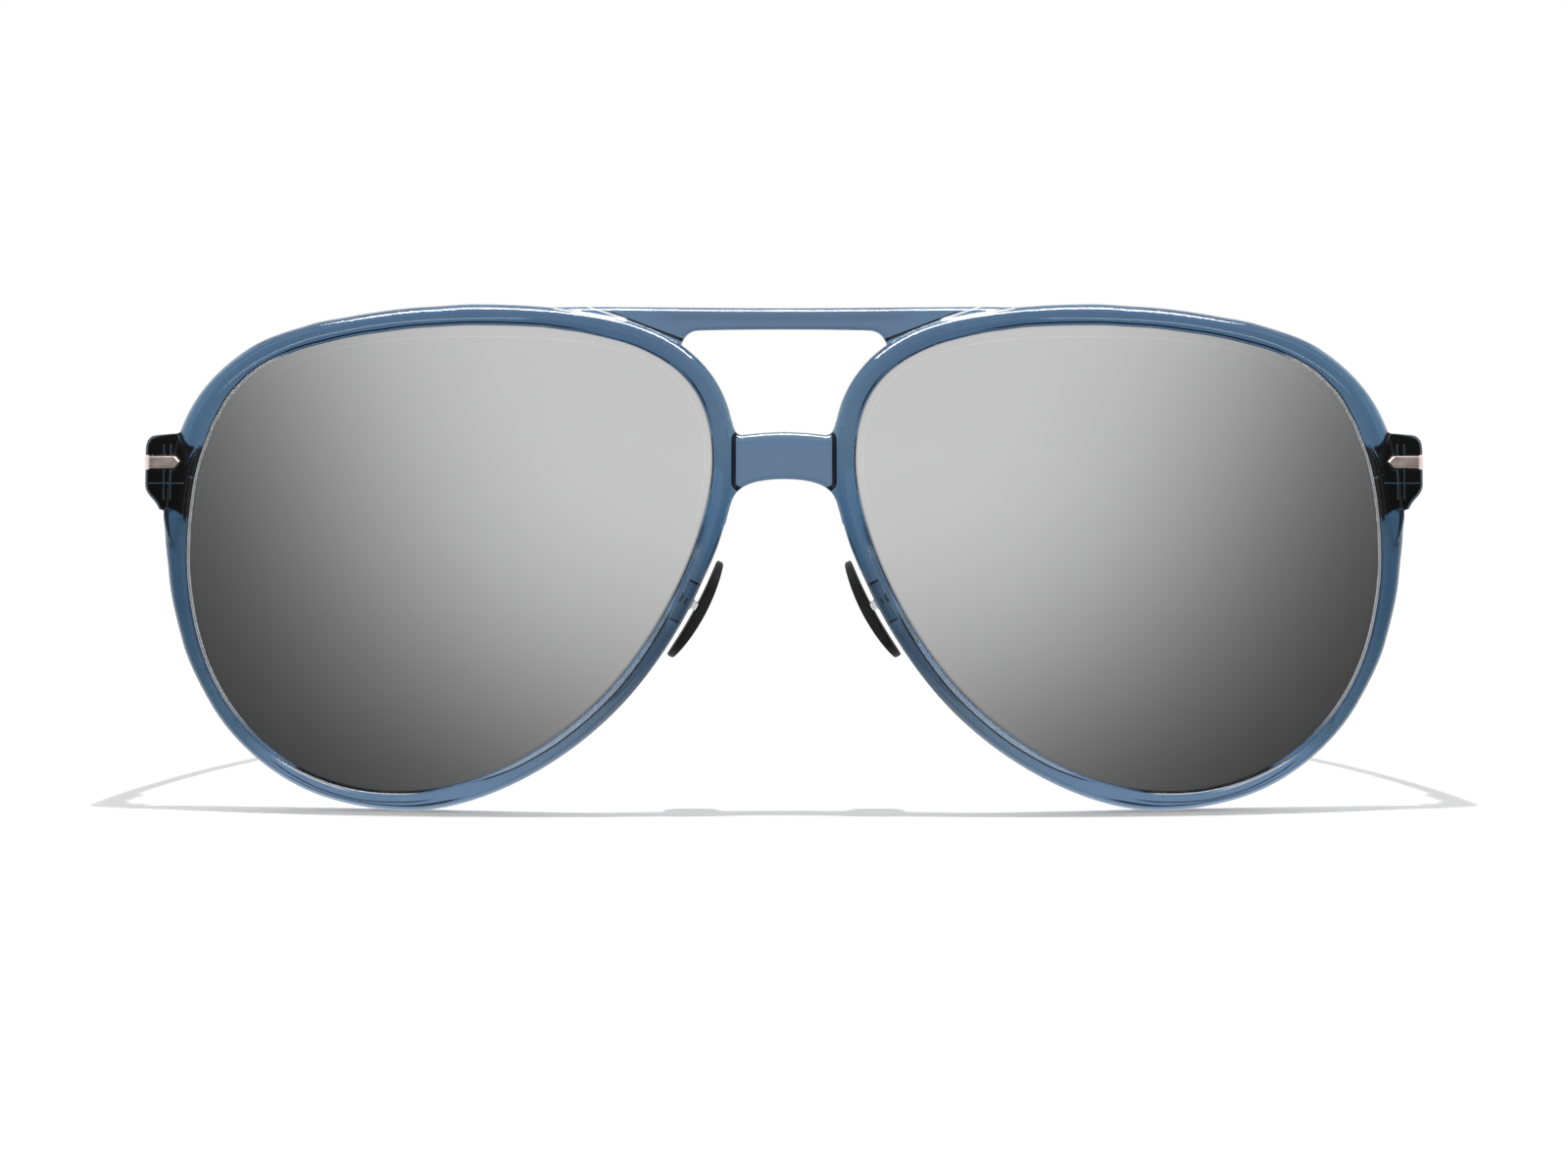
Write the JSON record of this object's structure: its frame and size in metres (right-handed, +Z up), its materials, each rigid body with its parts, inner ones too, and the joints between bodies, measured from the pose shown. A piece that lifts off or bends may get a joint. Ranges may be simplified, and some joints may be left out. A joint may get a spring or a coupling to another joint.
{
  "type": "aviator sunglasses",
  "caption": "Aviator sunglasses with a brow bar, mirror lenses, nose pads and folding temples with ribbed grip sleeves.",
  "frame": {"origin": "middle of the footprint, on the table that the rims and the temple tips stand on", "axes": "+X to the wearer's left, +Y back along the temples, +Z up; the lenses face -Y"},
  "size_m": [0.147, 0.1496, 0.0571],
  "materials": {
    "frame": "polished translucent blue nylon",
    "lens": "polished neutral grey mirror coating",
    "alloy": "brushed warm gunmetal",
    "black_steel": "satin black",
    "elastomer": "matte, fine ribs on the sleeves"
  },
  "bodies": {
    "front": {"frame_front": "frame", "lens_right": "lens", "nose_pad_right": "elastomer", "lug_inlay_right": "alloy", "hinge_plate_right": "black_steel", "plate_screw_lower_right": "black_steel", "plate_screw_upper_right": "black_steel", "hinge_pin_right": "black_steel", "lens_left": "lens", "nose_pad_left": "elastomer", "lug_inlay_left": "alloy", "hinge_plate_left": "black_steel", "plate_screw_lower_left": "black_steel", "plate_screw_upper_left": "black_steel", "hinge_pin_left": "black_steel"},
    "temple_right": {"temple_arm_right": "alloy", "temple_leaf_right": "black_steel", "leaf_rivet_front_right": "black_steel", "leaf_rivet_rear_right": "black_steel", "temple_sleeve_right": "elastomer"},
    "temple_left": {"temple_arm_left": "alloy", "temple_leaf_left": "black_steel", "leaf_rivet_front_left": "black_steel", "leaf_rivet_rear_left": "black_steel", "temple_sleeve_left": "elastomer"}
  },
  "joints": [
    {"name": "temple_hinge_right", "type": "hinge", "parent": "front", "child": "temple_right", "pos_m": [-0.07125, -0.05585, 0.0385], "axis": [0, 0, -1], "range_deg": [0, 78]},
    {"name": "temple_hinge_left", "type": "hinge", "parent": "front", "child": "temple_left", "pos_m": [0.07125, -0.05585, 0.0385], "axis": [0, 0, 1], "range_deg": [0, 82]}
  ]
}
